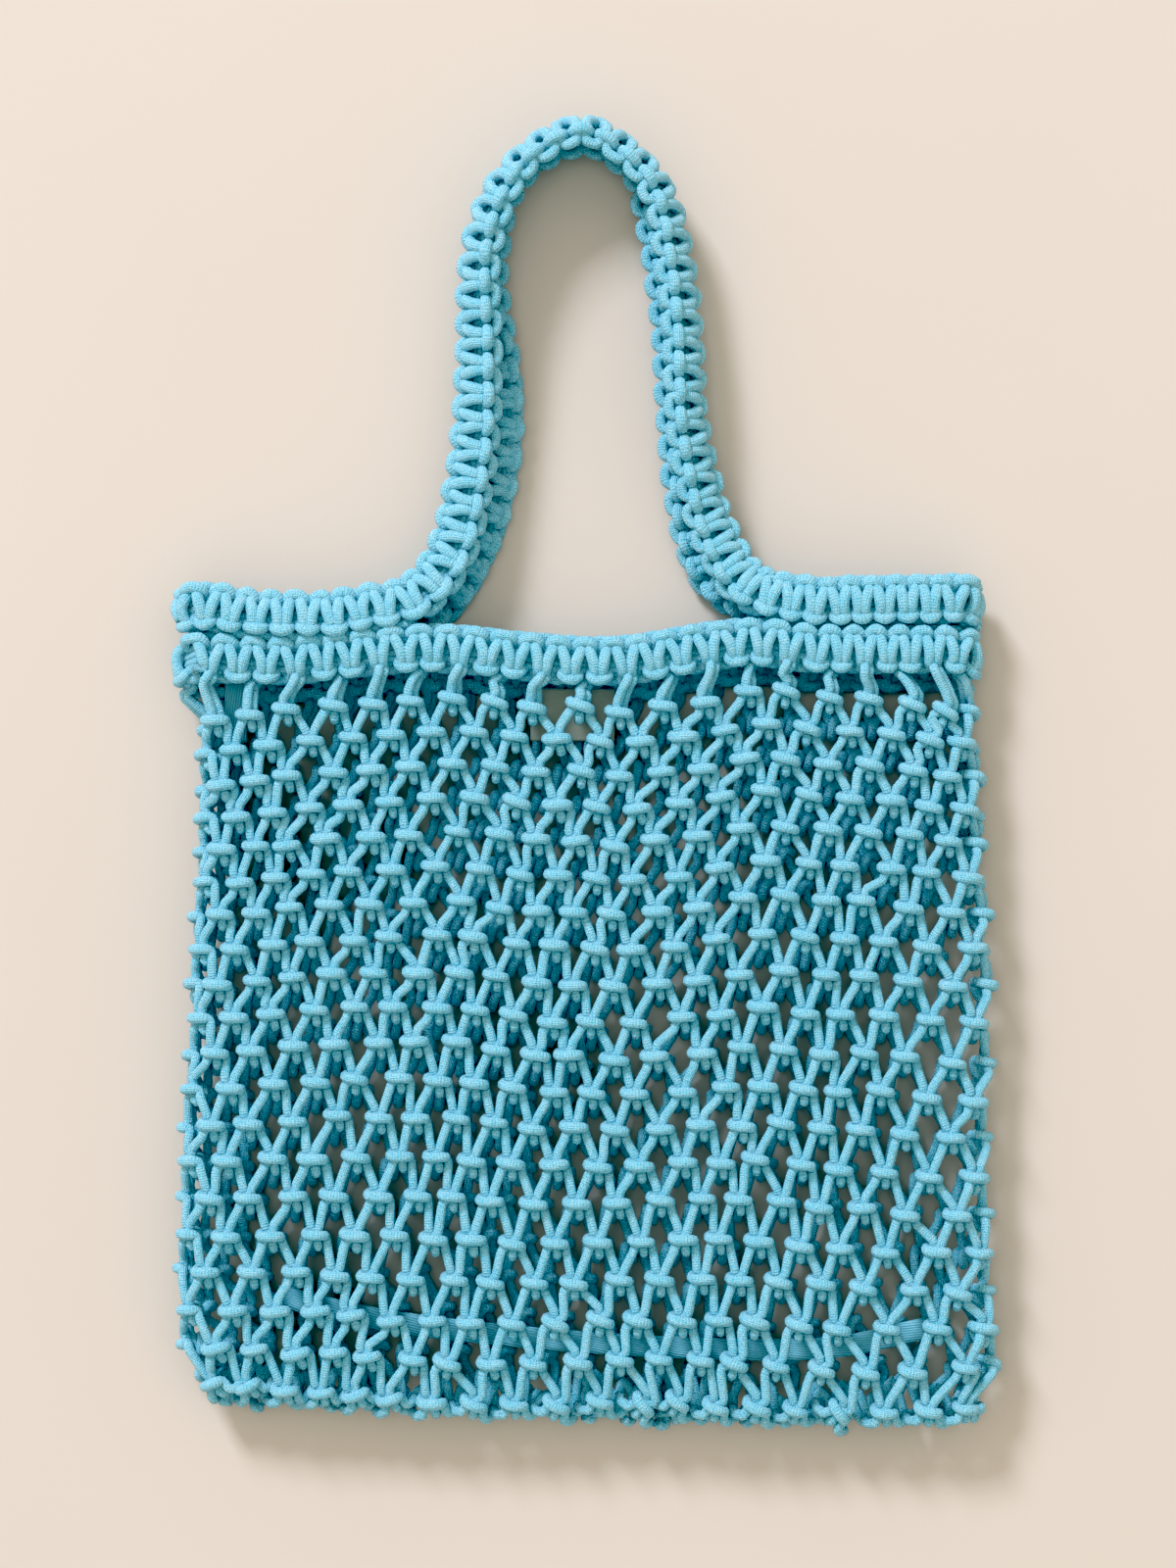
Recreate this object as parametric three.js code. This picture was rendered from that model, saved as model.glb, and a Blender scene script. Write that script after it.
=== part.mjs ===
// Macrame tote bag lying on its back, in millimetres.
// +X is to the right, +Y towards the handles and +Z up from the floor.
// A net bag of knotted cord hangs from a knotted band round the mouth. Two more bands run along that one,
// rise from it as the two handles and meet at the bag's sides. A seam tape, a short tape and a blank label
// lie inside.
import * as THREE from "three";

// Driving dimensions
const BAND_WIDTH = 20; // a knotted band, across its two rows of edge loops
const BAND_THICK = 12.6; // front bars, core cords and back bars
const KNOT_PITCH = 12.6; // one square knot along a band
const EDGE_LOOP = 1.5; // how far an edge loop stands out beside the next one
const EDGE_ROUND = 3.6; // from a band's edge to its flat faces
const MOUTH_GAP = 8.2; // between the front and back bands at the mouth
const BACK_DROP = 8; // the back of the mouth lies this much lower than the front
const GAP = 0.3; // clearance between neighbouring pieces
const BAND_GAP = 1.1; // between neighbouring bands' edge loops
const NET_GAP = 1.5; // from the band's highest edge loops to the net's top edge
const NET_WALL = 7; // the net's cords, as one wall
const KNOT_RISE = 2; // how far a knot stands out of the net's wall
const NET_COLUMNS = 16; // knots round the bag
const NET_ROWS = 7; // rows of meshes from the mouth to the bottom
const FRONT_RISE = 2.4; // how far the front of the net bellies up above the mouth's middle plane
const BELLY_REACH = 0.91; // the belly's end, as a share of the way from the mouth to the bottom
const BOTTOM_FALL = 9; // how far the front closes down at the bottom
const BOTTOM_FALL_FROM = 0.8; // share of the way down where it starts to close
const BOTTOM_LIFT = 4; // how far the back rounds up at the bottom
const BOTTOM_LIFT_FROM = 0.93; // share of the way down where it starts to round up
const SIDE_WALL = 0.34; // share of the way from a mesh's side knots to its middle that is cord
const POST_WALL = 0.24; // the same from its upper and lower knots
const LEG_WALL = 0.32; // the same from the cords between knots
const TOP_MESH_MIDDLE = 0.42; // the half meshes' middle under the mouth, in rows below it
const LAST_MESH_MIDDLE = 0.4; // the closed half meshes' middle, in rows above the bottom
const TAPE_WIDTH = 10;
const TAPE_THICK = 1.2;
const LIFT_OFF = 12; // along the mouth, from where a handle leaves it to its free loop's first place
const PATH_STEP = 1.5; // between the points that a band's path is drawn through
const PATH_DIVISIONS = 800; // for measuring lengths along a path
const TAPE_STEPS = 4; // sections of tape between two places of its line
const LABEL = { width: 39, height: 24, thick: 1, x: -7, onBand: 4 };
const SIDE_TAPE = { x: -162, length: 34, onBand: 12 };
const CORD_COLOUR = 0x5cb9d6;
const TAPE_COLOUR = 0x4a9fc0;
const LABEL_COLOUR = 0x9c9686;

// Heights worked out from them
const BACK_Z = BAND_THICK / 2;
const FRONT_Z = BACK_Z + BAND_THICK + MOUTH_GAP;
const MIDDLE_Z = (BACK_Z + FRONT_Z) / 2;
const ROW_STEP = BAND_WIDTH + BAND_GAP;
const INNER_BAND_FACE = BAND_THICK + GAP;

// The line of the front band along the mouth: raised where the handles pull on it.
const MOUTH = [
  { x: -190, y: 55 },
  { x: -135, y: 55 },
  { x: -72, y: 58.8 },
  { x: 0, y: 53.5 },
  { x: 78, y: 61.8 },
  { x: 130, y: 58.5 },
  { x: 181, y: 56 },
];
const BAND_ENDS = { left: -184.7, right: 175.2 };

// The net's outline from the mouth, at 0, to the bottom, at 1.
const NET_OUTLINE = [
  { down: 0, left: -180, right: 180 },
  { down: 0.2, left: -182, right: 184 },
  { down: 0.45, left: -186, right: 189 },
  { down: 0.7, left: -190, right: 187.5 },
  { down: 0.86, left: -192, right: 189 },
  { down: 0.94, left: -190.5, right: 190.8 },
  { down: 1, left: -181, right: 183 },
];
const BOTTOM = [
  { x: -190, y: -288 },
  { x: -130, y: -294 },
  { x: 0, y: -298 },
  { x: 120, y: -301 },
  { x: 190, y: -297 },
];

// The free loop of each handle, from left to right. Roll turns the outer edge down, in degrees.
const FRONT_LOOP = [
  { x: -104, y: 79.2, z: 26.6, roll: 4 },
  { x: -80, y: 83.5, z: 25.2, roll: 10 },
  { x: -64, y: 99.5, z: 22.8, roll: 18 },
  { x: -56.5, y: 125, z: 21, roll: 25 },
  { x: -51.5, y: 160, z: 20.5, roll: 30 },
  { x: -50, y: 198, z: 23.4, roll: 42 },
  { x: -50, y: 228, z: 26.3, roll: 52 },
  { x: -45, y: 255, z: 28, roll: 57 },
  { x: -30, y: 280, z: 27.7, roll: 66 },
  { x: -2.7, y: 294.2, z: 27.9, roll: 70 },
  { x: 21, y: 280.5, z: 28, roll: 70 },
  { x: 34, y: 261.5, z: 27.2, roll: 65 },
  { x: 40.2, y: 231.3, z: 26, roll: 59 },
  { x: 43.5, y: 201.5, z: 26.4, roll: 57 },
  { x: 45, y: 165, z: 26.4, roll: 54 },
  { x: 50.8, y: 134.7, z: 23, roll: 46 },
  { x: 58, y: 111.5, z: 21.5, roll: 36 },
  { x: 73, y: 90, z: 23.5, roll: 18 },
  { x: 104, y: 81.6, z: 26.6, roll: 4 },
];
const BACK_LOOP = [
  { x: -90, y: 73, z: 6.35, roll: 0 },
  { x: -68, y: 82.5, z: 6.5, roll: 0 },
  { x: -52, y: 108, z: 7, roll: 5 },
  { x: -43.5, y: 137, z: 7.7, roll: 12 },
  { x: -40.9, y: 165, z: 8.6, roll: 20 },
  { x: -43, y: 190, z: 9.2, roll: 36 },
  { x: -46.5, y: 215, z: 9, roll: 47 },
  { x: -46.3, y: 240, z: 9, roll: 52 },
  { x: -39.3, y: 268.4, z: 9.1, roll: 58 },
  { x: -24, y: 284.5, z: 9.3, roll: 66 },
  { x: -2.7, y: 292.4, z: 9.4, roll: 69 },
  { x: 14, y: 285.5, z: 9.4, roll: 69 },
  { x: 24.5, y: 275.5, z: 9.3, roll: 67 },
  { x: 30.2, y: 257, z: 9, roll: 62 },
  { x: 35, y: 231.4, z: 8.9, roll: 57 },
  { x: 39.4, y: 203, z: 9, roll: 52 },
  { x: 41, y: 176.9, z: 9, roll: 50 },
  { x: 43, y: 150, z: 9, roll: 44 },
  { x: 46.1, y: 130, z: 9.1, roll: 33 },
  { x: 50.9, y: 110.3, z: 8.1, roll: 16 },
  { x: 62, y: 89, z: 7.1, roll: 4 },
  { x: 96, y: 73, z: 6.5, roll: 0 },
];

// The seam tape's middle line along the inside of the bottom, its ends sewn a little higher.
const SEAM_TAPE = [
  { x: -143, y: -239 },
  { x: -90, y: -251 },
  { x: -30, y: -258 },
  { x: 40, y: -263 },
  { x: 110, y: -263 },
  { x: 156, y: -254 },
];

const material = (color, roughness) => new THREE.MeshStandardMaterial({ color, roughness, metalness: 0 });
const bag = new THREE.Group();

function addPiece(name, geometry, color, roughness = 0.9) {
  const mesh = new THREE.Mesh(geometry, material(color, roughness));
  mesh.name = name;
  bag.add(mesh);
}

// A column of a table at a place along another of its columns, eased from row to row.
function eased(table, key, place, column) {
  const after = table.findIndex((row) => row[key] > place);
  if (after === 0) return table[0][column];
  if (after < 0) return table[table.length - 1][column];
  const [a, b] = [table[after - 1], table[after]];
  return THREE.MathUtils.lerp(a[column], b[column], THREE.MathUtils.smoothstep(place, a[key], b[key]));
}

// The mouth's height along the bag: front is 1 on the front band and 0 on the back one.
const mouthY = (x, front) => eased(MOUTH, "x", x, "y") - BACK_DROP * (1 - front);

// A closed solid from rings of points, each ring with as many points, joined in order.
function solidFromRings(rings, loop) {
  const positions = rings.flat().flatMap((p) => [p.x, p.y, p.z]);
  const around = rings[0].length;
  const index = [];
  const last = loop ? rings.length : rings.length - 1;
  for (let r = 0; r < last; r++) {
    const next = (r + 1) % rings.length;
    for (let k = 0; k < around; k++) {
      const [a, b] = [r * around + k, r * around + ((k + 1) % around)];
      const [c, d] = [next * around + k, next * around + ((k + 1) % around)];
      index.push(a, b, d, a, d, c);
    }
  }
  for (let k = 1; !loop && k < around - 1; k++) {
    const end = (rings.length - 1) * around;
    index.push(0, k + 1, k, end, end + k, end + k + 1);
  }
  return new THREE.BufferGeometry()
    .setAttribute("position", new THREE.Float32BufferAttribute(positions, 3))
    .setIndex(index);
}

// One six-sided section of a knotted band. Edge loops stand out on one edge, then on the other.
function bandSection(centre, across, normal, turn) {
  const corner = (side, face) =>
    centre
      .clone()
      .addScaledVector(across, side * (BAND_WIDTH / 2 - EDGE_ROUND))
      .addScaledVector(normal, (face * BAND_THICK) / 2);
  const edge = (side) => {
    const reach = BAND_WIDTH / 2 - (side === turn ? 0 : EDGE_LOOP);
    return centre.clone().addScaledVector(across, side * reach);
  };
  return [edge(1), corner(1, 1), corner(-1, 1), edge(-1), corner(-1, -1), corner(1, -1)];
}

// A band's width where it runs along the mouth or round a side: upright, square to its path.
function uprightAcross(tangent) {
  return new THREE.Vector3(0, 1, 0).addScaledVector(tangent, -tangent.y).normalize();
}

// A handle's width: level with the floor, apart from the turns round the sides.
function levelAcross(tangent) {
  if (Math.abs(tangent.z) > Math.SQRT1_2) return uprightAcross(tangent);
  return new THREE.Vector3(-tangent.y, tangent.x, 0).normalize();
}

// A knotted band along a curve, with a section at each half knot, turned about its path by the roll.
function knottedBand(curve, acrossAt, rollAt) {
  const steps = 2 * Math.round(curve.getLength() / KNOT_PITCH);
  const rings = [];
  for (let i = 0; i < steps + (curve.closed ? 0 : 1); i++) {
    const tangent = curve.getTangentAt(i / steps);
    const roll = THREE.MathUtils.degToRad(-rollAt(i / steps));
    const across = acrossAt(tangent).applyAxisAngle(tangent, roll);
    const normal = tangent.clone().cross(across);
    rings.push(bandSection(curve.getPointAt(i / steps), across, normal, i % 2 ? 1 : -1));
  }
  return solidFromRings(rings, curve.closed);
}

// The points of a half turn round one side of the bag, from the back band's height up to the front one's.
function sideTurn(end, side, from, to, rise) {
  const radius = (FRONT_Z - BACK_Z) / 2;
  const points = [];
  const steps = Math.round((radius * Math.abs(to - from)) / PATH_STEP);
  for (let i = 0; i <= steps; i++) {
    const angle = THREE.MathUtils.lerp(from, to, i / steps);
    const x = end + side * radius * (Math.cos(angle) - 1);
    const front = (Math.sin(angle) + 1) / 2;
    points.push(new THREE.Vector3(x, mouthY(x, front) + rise, MIDDLE_Z + radius * Math.sin(angle)));
  }
  return points;
}

// The points of a straight stretch of band along the mouth.
function alongMouth(from, to, front, rise) {
  const steps = Math.round(Math.abs(to - from) / PATH_STEP) - 1;
  return Array.from({ length: steps }, (_, i) => {
    const x = THREE.MathUtils.lerp(from, to, (i + 1) / (steps + 1));
    return new THREE.Vector3(x, mouthY(x, front) + rise, front ? FRONT_Z : BACK_Z);
  });
}

// The band round the mouth: front from left to right, round the right side, and back again.
function mouthBand() {
  const { left, right } = BAND_ENDS;
  const inset = (FRONT_Z - BACK_Z) / 2;
  const quarter = Math.PI / 2;
  const points = [
    ...alongMouth(left + inset, right - inset, 1, 0),
    ...sideTurn(right, 1, quarter, -quarter, 0),
    ...alongMouth(right - inset, left + inset, 0, 0),
    ...sideTurn(left, -1, -quarter, quarter, 0),
  ];
  const curve = new THREE.CatmullRomCurve3(points, true);
  curve.arcLengthDivisions = PATH_DIVISIONS;
  return knottedBand(curve, uprightAcross, () => 0);
}

// A handle: from the left side along the mouth, up and round its free loop, and along the mouth again.
function handle(loop, front) {
  const { left, right } = BAND_ENDS;
  const inset = (FRONT_Z - BACK_Z) / 2;
  const [first, last] = [loop[0], loop[loop.length - 1]];
  const away = Math.asin(BAND_GAP / inset) * (front ? 1 : -1);
  const flat = (Math.PI / 2) * (front ? 1 : -1);
  const start = [
    ...sideTurn(left, -1, away, flat, ROW_STEP),
    ...alongMouth(left + inset, first.x - LIFT_OFF, front, ROW_STEP),
  ];
  const points = [
    ...start,
    ...loop.map((row) => new THREE.Vector3(row.x, row.y, row.z)),
    ...alongMouth(last.x + LIFT_OFF, right - inset, front, ROW_STEP),
    ...sideTurn(right, 1, flat, away, ROW_STEP),
  ];
  const curve = new THREE.CatmullRomCurve3(points, false, "centripetal");
  curve.arcLengthDivisions = PATH_DIVISIONS;
  const rolls = points.map((_, i) => loop[i - start.length]?.roll ?? 0);
  const rollAt = (t) => {
    const place = curve.getUtoTmapping(t) * (points.length - 1);
    const row = Math.min(Math.floor(place), points.length - 2);
    return THREE.MathUtils.lerp(rolls[row], rolls[row + 1], place - row);
  };
  return knottedBand(curve, levelAcross, rollAt);
}

// A place on the net's middle surface and its outward direction. Column 0 is the middle of the back,
// columns go round by the right side, and the front is half way round. Row 0 is at the mouth.
function netPlace(column, row, inside) {
  const down = row / NET_ROWS;
  const low = NET_WALL / 2 + BOTTOM_LIFT * THREE.MathUtils.smoothstep(down, BOTTOM_LIFT_FROM, 1);
  const fall = BOTTOM_FALL * THREE.MathUtils.smoothstep(down, BOTTOM_FALL_FROM, 1);
  const belly = FRONT_RISE * Math.sin(Math.PI * Math.min(1, down / BELLY_REACH));
  const high = FRONT_Z + BAND_THICK / 2 - NET_WALL / 2 - KNOT_RISE + belly - fall;
  const left = eased(NET_OUTLINE, "down", down, "left") + NET_WALL / 2;
  const right = eased(NET_OUTLINE, "down", down, "right") - NET_WALL / 2;
  const radius = (high - low) / 2;
  const straight = right - left - 2 * radius;
  const turn = Math.PI * radius;
  const girth = 2 * (straight + turn);
  const along = ((((column / NET_COLUMNS) * girth) % girth) + girth) % girth;
  const [middle, half] = [(left + right) / 2, straight / 2];
  const round = (side, angle) => ({
    x: middle + side * half + radius * Math.sin(angle),
    z: low + radius - radius * Math.cos(angle),
    out: [Math.sin(angle), -Math.cos(angle)],
  });
  let place;
  if (along < half) place = { x: middle + along, z: low, out: [0, -1] };
  else if (along < half + turn) place = round(1, (along - half) / radius);
  else if (along < girth / 2 + half) place = { x: middle + girth / 2 - along, z: high, out: [0, 1] };
  else if (along < girth - half) place = round(-1, Math.PI + (along - half - turn - straight) / radius);
  else place = { x: middle + along - girth, z: low, out: [0, -1] };
  const front = THREE.MathUtils.clamp((place.z - BACK_Z) / (FRONT_Z - BACK_Z), 0, 1);
  const top = mouthY(place.x, front) - BAND_WIDTH / 2 - NET_GAP;
  const bottom = eased(BOTTOM, "x", place.x, "y") + (inside ? NET_WALL : 0);
  return { ...place, y: THREE.MathUtils.lerp(top, bottom, down) };
}

// The net: a bag-shaped wall, open at the mouth and closed at the bottom, cut through by diamond meshes.
// Each mesh is a ring of wall between the knots at its corners and its own hole.
function netBag() {
  const positions = [];
  const index = [];
  const made = new Map();
  const wrapped = (column) => ((column % NET_COLUMNS) + NET_COLUMNS) % NET_COLUMNS;
  const vertex = (column, row, inside, knot) => {
    const key = [wrapped(column).toFixed(4), row.toFixed(4), inside].join();
    if (!made.has(key)) {
      const place = netPlace(wrapped(column), row, inside);
      const frontness = (place.out[1] + 1) / 2;
      const rise = knot ? KNOT_RISE * (inside ? 1 - frontness : frontness) : 0;
      const offset = (NET_WALL / 2 + rise) * (inside ? -1 : 1);
      made.set(key, positions.length / 3);
      positions.push(place.x + place.out[0] * offset, place.y, place.z + place.out[1] * offset);
    }
    return made.get(key);
  };
  const quad = (a, b, c, d) => index.push(a, b, c, a, c, d);

  // Corners go round from the right-hand knot by the one below. Each has the share of its way that is wall.
  const mesh = (centre, corners, open) => {
    const at = (corner, inside) => vertex(...corner.place, inside, corner.knot);
    const hole = (corner, inside) => {
      const [column, row] = corner.place.map((p, i) => THREE.MathUtils.lerp(p, centre[i], corner.wall));
      return vertex(column, row, inside, false);
    };
    corners.forEach((corner, k) => {
      const next = corners[(k + 1) % corners.length];
      if (open) {
        quad(at(corner, false), at(next, false), hole(next, false), hole(corner, false));
        quad(hole(corner, true), hole(next, true), at(next, true), at(corner, true));
        quad(hole(corner, false), hole(next, false), hole(next, true), hole(corner, true));
      } else {
        index.push(at(corner, false), at(next, false), vertex(...centre, false, false));
        index.push(at(next, true), at(corner, true), vertex(...centre, true, false));
      }
    });
  };
  const side = (column, row) => ({ place: [column, row], wall: SIDE_WALL, knot: true });
  const post = (column, row) => ({ place: [column, row], wall: POST_WALL, knot: true });
  const leg = (column, row) => ({ place: [column, row], wall: LEG_WALL, knot: false });

  for (let row = 0; row <= NET_ROWS; row++) {
    for (let i = 0; i < NET_COLUMNS; i++) {
      const c = i + (row % 2 ? 0 : 0.5);
      const [right, left] = [side(c + 0.5, row), side(c - 0.5, row)];
      const below = [leg(c + 0.25, row + 0.5), post(c, row + 1), leg(c - 0.25, row + 0.5)];
      const above = [leg(c - 0.25, row - 0.5), post(c, row - 1), leg(c + 0.25, row - 0.5)];
      const edge = leg(c, row);
      if (row === 0) {
        mesh([c, TOP_MESH_MIDDLE], [right, ...below, left, edge], true);
        const [a, b, d] = [c + 0.5, c, c - 0.5];
        quad(vertex(b, 0, false), vertex(d, 0, false), vertex(d, 0, true), vertex(b, 0, true));
        quad(vertex(a, 0, false), vertex(b, 0, false), vertex(b, 0, true), vertex(a, 0, true));
      } else if (row === NET_ROWS) mesh([c, row - LAST_MESH_MIDDLE], [right, edge, left, ...above], false);
      else mesh([c, row], [right, ...below, left, ...above], true);
    }
  }

  // The bottom: strips from the back's last row to the front's, outside and inside.
  const quarter = NET_COLUMNS / 4;
  for (const inside of [false, true]) {
    for (let c = quarter; c > -quarter; c -= 0.5) {
      const ends = [c, c - 0.5, NET_COLUMNS / 2 - c + 0.5, NET_COLUMNS / 2 - c];
      const [a, b, d, e] = ends.map((column) => vertex(column, NET_ROWS, inside, false));
      const faces = a === e ? [[a, b, d]] : b === d ? [[a, b, e]] : [[a, b, d], [a, d, e]];
      faces.forEach((face) => index.push(...(inside ? face : face.reverse())));
    }
  }
  return new THREE.BufferGeometry()
    .setAttribute("position", new THREE.Float32BufferAttribute(positions, 3))
    .setIndex(index);
}

// A flat strip of tape along a line of points, lying at a height.
function tape(rows, low) {
  const line = new THREE.SplineCurve(rows.map((row) => new THREE.Vector2(row.x, row.y)));
  const steps = TAPE_STEPS * (rows.length - 1);
  const sides = [[], []];
  for (let i = 0; i <= steps; i++) {
    const [at, along] = [line.getPoint(i / steps), line.getTangent(i / steps)];
    const out = new THREE.Vector2(-along.y, along.x).multiplyScalar(TAPE_WIDTH / 2);
    sides[0].push(at.clone().sub(out));
    sides[1].unshift(at.clone().add(out));
  }
  const outline = new THREE.Shape(sides.flat());
  const strip = new THREE.ExtrudeGeometry(outline, { depth: TAPE_THICK, bevelEnabled: false });
  return strip.translate(0, 0, low);
}

function blankLabel() {
  const top = mouthY(LABEL.x, 0) - BAND_WIDTH / 2 + LABEL.onBand;
  const plate = new THREE.BoxGeometry(LABEL.width, LABEL.height, LABEL.thick);
  return plate.translate(LABEL.x, top - LABEL.height / 2, INNER_BAND_FACE + LABEL.thick / 2);
}

function sideTape() {
  const top = mouthY(SIDE_TAPE.x, 0) - BAND_WIDTH / 2 + SIDE_TAPE.onBand;
  const plate = new THREE.BoxGeometry(TAPE_WIDTH, SIDE_TAPE.length, TAPE_THICK);
  return plate.translate(SIDE_TAPE.x, top - SIDE_TAPE.length / 2, INNER_BAND_FACE + TAPE_THICK / 2);
}

addPiece("net_bag", netBag(), CORD_COLOUR);
addPiece("mouth_band", mouthBand(), CORD_COLOUR);
addPiece("handle_front", handle(FRONT_LOOP, 1), CORD_COLOUR);
addPiece("handle_back", handle(BACK_LOOP, 0), CORD_COLOUR);
addPiece("seam_tape", tape(SEAM_TAPE, NET_WALL + KNOT_RISE + GAP), TAPE_COLOUR);
addPiece("side_tape", sideTape(), TAPE_COLOUR);
addPiece("label", blankLabel(), LABEL_COLOUR, 0.5);

export default bag;
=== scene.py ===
"""Macrame tote bag lying on its back: a net of knotted cord under a square-knotted mouth band
and two handles.

Lengths are in millimetres until a mesh is made, in the frame's axes: +X right, +Y towards the
handles, +Z up.
"""
import bpy
import numpy as np
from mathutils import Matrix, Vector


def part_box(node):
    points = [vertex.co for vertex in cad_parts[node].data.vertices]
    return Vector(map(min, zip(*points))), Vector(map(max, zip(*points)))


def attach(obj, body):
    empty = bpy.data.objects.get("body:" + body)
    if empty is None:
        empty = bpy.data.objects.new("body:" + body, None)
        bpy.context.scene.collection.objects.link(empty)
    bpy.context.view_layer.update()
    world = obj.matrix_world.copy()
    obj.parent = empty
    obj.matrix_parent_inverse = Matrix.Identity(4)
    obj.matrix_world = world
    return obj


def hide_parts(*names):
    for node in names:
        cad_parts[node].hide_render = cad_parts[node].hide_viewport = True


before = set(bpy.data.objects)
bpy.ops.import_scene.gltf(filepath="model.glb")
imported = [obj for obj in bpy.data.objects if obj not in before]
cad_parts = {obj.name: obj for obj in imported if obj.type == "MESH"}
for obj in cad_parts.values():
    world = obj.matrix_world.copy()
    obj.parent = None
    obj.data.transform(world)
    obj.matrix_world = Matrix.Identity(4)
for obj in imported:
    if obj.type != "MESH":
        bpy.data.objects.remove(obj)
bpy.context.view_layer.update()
chance = np.random.default_rng(7)

MM = 0.001
UP = np.array([0.0, 0, 1])
CORD = 2.2  # radius of the soft cord
CORD_SIDES = 8
RING_START = (0.31, 0.17, 0.94)  # a slanting direction, along which no cord sets out
FLOOR_GAP = 0.1  # least gap between a cord and the floor

# The bands, as in the solids
BAND_THICK = 12.6
MOUTH_GAP = 8.2  # between the front and the back of the mouth
BACK_DROP = 8.0  # the back of the mouth lies this much lower than the front
BACK_Z = BAND_THICK / 2
FRONT_Z = BACK_Z + BAND_THICK + MOUTH_GAP
MIDDLE_Z = (BACK_Z + FRONT_Z) / 2
TURN = (FRONT_Z - BACK_Z) / 2  # radius of the bands' half turns round the sides
BAND_ENDS = (-184.7, 175.2)  # x of the bands' middle lines, furthest left and right
MOUTH_ROUND = 743.4  # length round the mouth band
MOUTH_KNOTS = 60
HOOK_KNOTS = 3  # a pair of the net's cords hooks over every third knot
# The mouth band's knots: number, length along from the left side. They are closer at the right end
# of the front.
KNOT_PLACES = np.array([
    (-1, 1.5), (0, 13.7), (1, 26.9), (2, 39.8), (4, 65.5), (5.5, 84.4), (8, 116.1), (10, 141.1),
    (14, 191.9), (16, 217.0), (20, 267.3), (23, 304.7), (25, 325.4), (29, 367.2),
    (60, 13.7 + MOUTH_ROUND), (61, 26.9 + MOUTH_ROUND),
])
LIFT_OFF = 12.0  # from a handle's row along the mouth to its free loop
TURN_POINTS = 12  # on a band's half turn
ROW_POINTS = 40  # on a band's stretch along the mouth, without its ends
# What multiplies the width of a band's knots and the radius of its cords
MOUTH_WIDTH = 0.94
MOUTH_FULLNESS = 1.13
HANDLE_WIDTH = 0.95
HANDLE_FULLNESS = 1.18
BACK_LEAD = 0.75  # from the back handle's end to its first knot, in knots

# The line of the front of the mouth: x, y
MOUTH = np.array([
    (-190, 54.8), (-145, 52.5), (-74, 58.1), (4, 52), (78, 60.8), (108, 57.7), (181, 57.4),
])
# The handles' rows along the mouth: x, step up from the mouth band, roll of the front one
ROWS_ABOVE = np.array([
    (-190, 23.8, 6), (-176, 23, 10), (-152, 21, 20), (-135, 20.2, 22), (-116, 18.4, 20),
    (-98, 17.8, 18), (100, 21.6, 4), (131, 22.3, 3), (156, 22.8, 3), (178, 24.3, 3),
])
# A handle's knot length along its whole way: share of the way, length
HANDLE_KNOTS = np.array([
    (0, 11.6), (0.1, 11.8), (0.2, 13.0), (0.5, 13.0), (0.75, 12.4), (0.86, 10.8), (1, 10.3),
])

# The net's outline from mouth to bottom: share of the way down, left x, right x
NET_OUTLINE = np.array([
    (0, -180, 180), (0.2, -182, 184), (0.45, -186, 189), (0.7, -190, 187.5),
    (0.86, -192, 189), (0.94, -190.5, 190.8), (1, -181, 183),
])
# The line of the bottom edge: x, y
BOTTOM = np.array([(-190, -290), (-130, -294), (0, -298), (120, -302), (190, -302)])
COLUMNS = 40
TYING_PIECES = 4  # pieces that the tying cords are shared out to
ROWS = 19  # below the first
NET_FULLNESS = 1.07  # multiplies the cord's radius in the net
KNOTS_PER_COLUMN = 1.5  # of the mouth band
FIRST_HOOK = 0.5  # first cord's place, in the mouth band's knots
NET_SHIFT = 2.3  # how far the net's columns sit to the left of their lengths on the mouth band
# The first knots: column, length that they hang to the left of their places, length below the
# mouth band, lean in degrees
FIRST_KNOTS = np.array([
    (0, 2.9, 18.3, -2), (1, 1.2, 14.9, -4), (2, 3.9, 11.9, -6), (3, 1.3, 12.3, -8),
    (4, 2.2, 13.8, -4), (5, 4.2, 13.7, -5), (6, 3.8, 12.2, -5), (7, 3.5, 12.1, -6),
    (8, 5.5, 12.7, -3), (9, 2.5, 10, -8), (10, 3.5, 13.4, -2), (11, 2.4, 13.2, -8),
    (12, 1.8, 14.8, 0), (13, 1.1, 11.8, -5), (14, 2.6, 10.8, -6), (15, 1.5, 11.9, -6),
    (16, -1, 12.4, -3), (17, -5.1, 14.9, -6), (18, -5.1, 18, -25), (19, -4.7, 15.7, -2),
    (20, -1, 16, -4), (22, 0, 15, -4), (40, 2.9, 18.3, -2),
])
HANG_LEFT, BELOW, LEAN = 1, 2, 3
# How the bars of the last rows lean, their right ends up: x, degrees
BOTTOM_LEAN = np.array([
    (-190, 28), (-105, 26), (-80, 4), (-30, -8), (40, -17), (140, -10), (190, -22),
])
EVEN_ROW = 8  # from this row on, columns are even
# How far from a side edge the columns follow its shape, in the first row and from EVEN_ROW on
EDGE_REACH = (30.0, 110.0)
NET_HALF = 6.8  # half the thickness of a knot
NET_LOW = 7.3  # height of the back's middle surface
NET_BULGE = 1.2  # how much higher the front lies half way down
CLOSER_ROWS = 0.12  # share of the way down that goes with the square of the row
BAND_LOWER_EDGE = 10.5  # from the mouth band's middle line
BOTTOM_EDGE = 11.5  # from the bottom edge up to the last knots
BOTTOM_TURN = 0.8  # how far the last knots turn under, in radians
TURN_ROWS = 1.5  # over which they turn
MOST_TURN = 1.2  # share of that turn that knots below the last row can reach
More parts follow.
